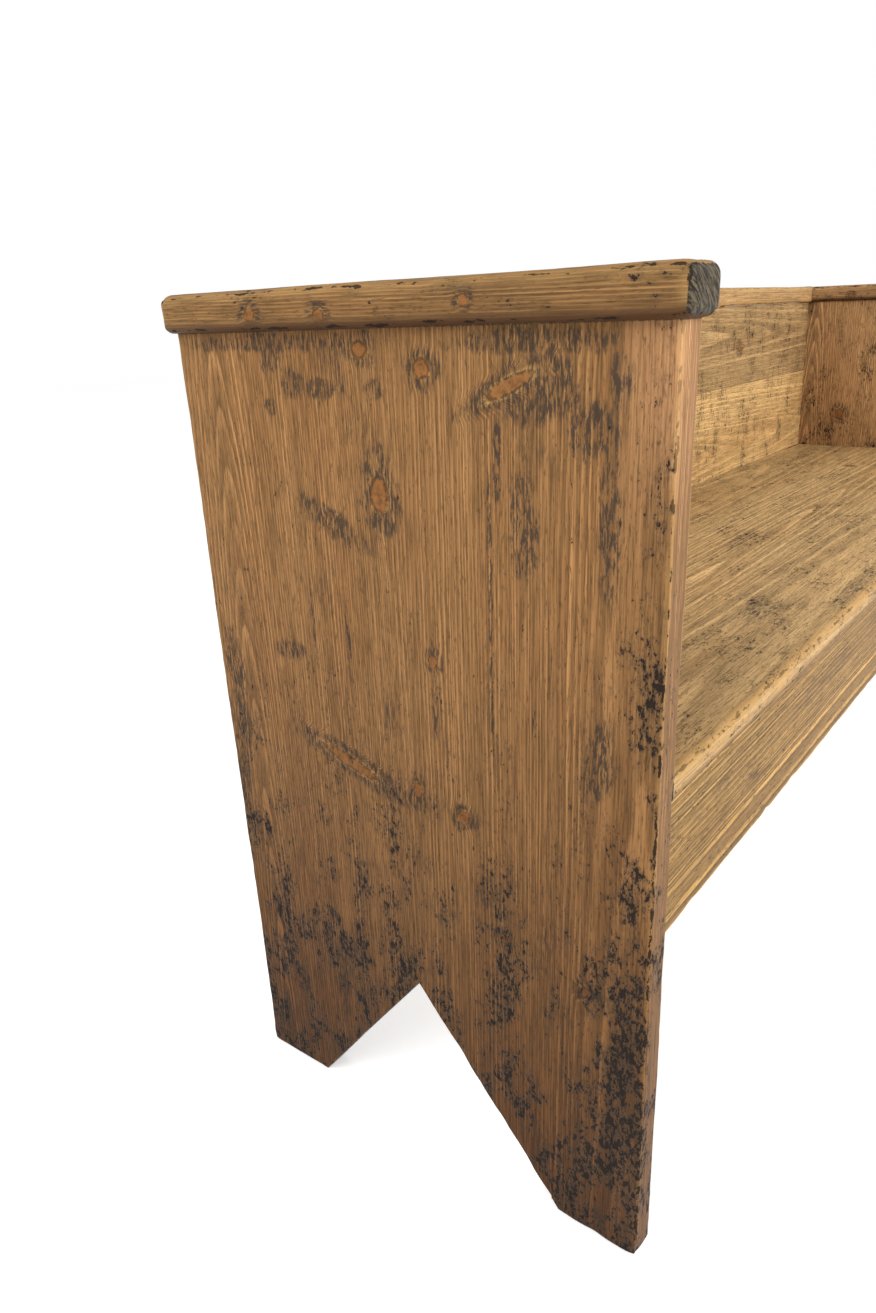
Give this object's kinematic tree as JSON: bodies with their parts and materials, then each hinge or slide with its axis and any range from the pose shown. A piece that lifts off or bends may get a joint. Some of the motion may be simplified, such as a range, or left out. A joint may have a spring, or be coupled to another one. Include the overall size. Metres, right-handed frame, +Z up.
{
  "type": "church pew",
  "caption": "Reclaimed pine church pew with plank ends notched into two feet, a housed back, a boxed seat and a rounded cap along ends and back.",
  "frame": {"origin": "on the floor, under the middle of the pew's outline", "axes": "+X along the pew, to the right for someone who faces its front; +Y from front to back; +Z up"},
  "size_m": [1.726, 0.475, 0.786],
  "materials": {
    "end_pine": "worn waxed pine, honey brown, dirty towards the floor",
    "cap_pine": "worn waxed pine with grey end grain",
    "back_pine": "waxed pine, yellower, with dark flecks",
    "seat_pine": "waxed pine, olive tan, pale on the front edge",
    "apron_pine": "waxed pine with fine straight grain",
    "inner_pine": "plain sawn pine, unfinished",
    "dowel_wood": "plain beech dowel",
    "screw_steel": "dull steel"
  },
  "bodies": {
    "root": {"left_front_board": "end_pine", "left_middle_board": "end_pine", "left_rear_board": "end_pine", "left_board_dowels": "dowel_wood", "left_cap": "cap_pine", "left_cap_dowels": "dowel_wood", "left_seat_cleat": "inner_pine", "left_cleat_screws": "screw_steel", "right_front_board": "end_pine", "right_middle_board": "end_pine", "right_rear_board": "end_pine", "right_board_dowels": "dowel_wood", "right_cap": "cap_pine", "right_cap_dowels": "dowel_wood", "right_seat_cleat": "inner_pine", "right_cleat_screws": "screw_steel", "back_top_board": "back_pine", "back_lower_board": "back_pine", "back_cap_rail": "cap_pine", "cap_rail_dowels": "dowel_wood", "cap_corner_dowels": "dowel_wood", "back_batten": "inner_pine", "batten_screws": "screw_steel", "seat_front_board": "seat_pine", "seat_middle_board": "seat_pine", "seat_rear_board": "seat_pine", "seat_tongues": "dowel_wood", "seat_bearer_left": "inner_pine", "seat_bearer_right": "inner_pine", "seat_screws": "screw_steel", "front_apron": "apron_pine", "apron_dowels": "dowel_wood", "rear_rail": "inner_pine", "rear_rail_dowels": "dowel_wood", "glue_blocks": "inner_pine"}
  },
  "joints": []
}
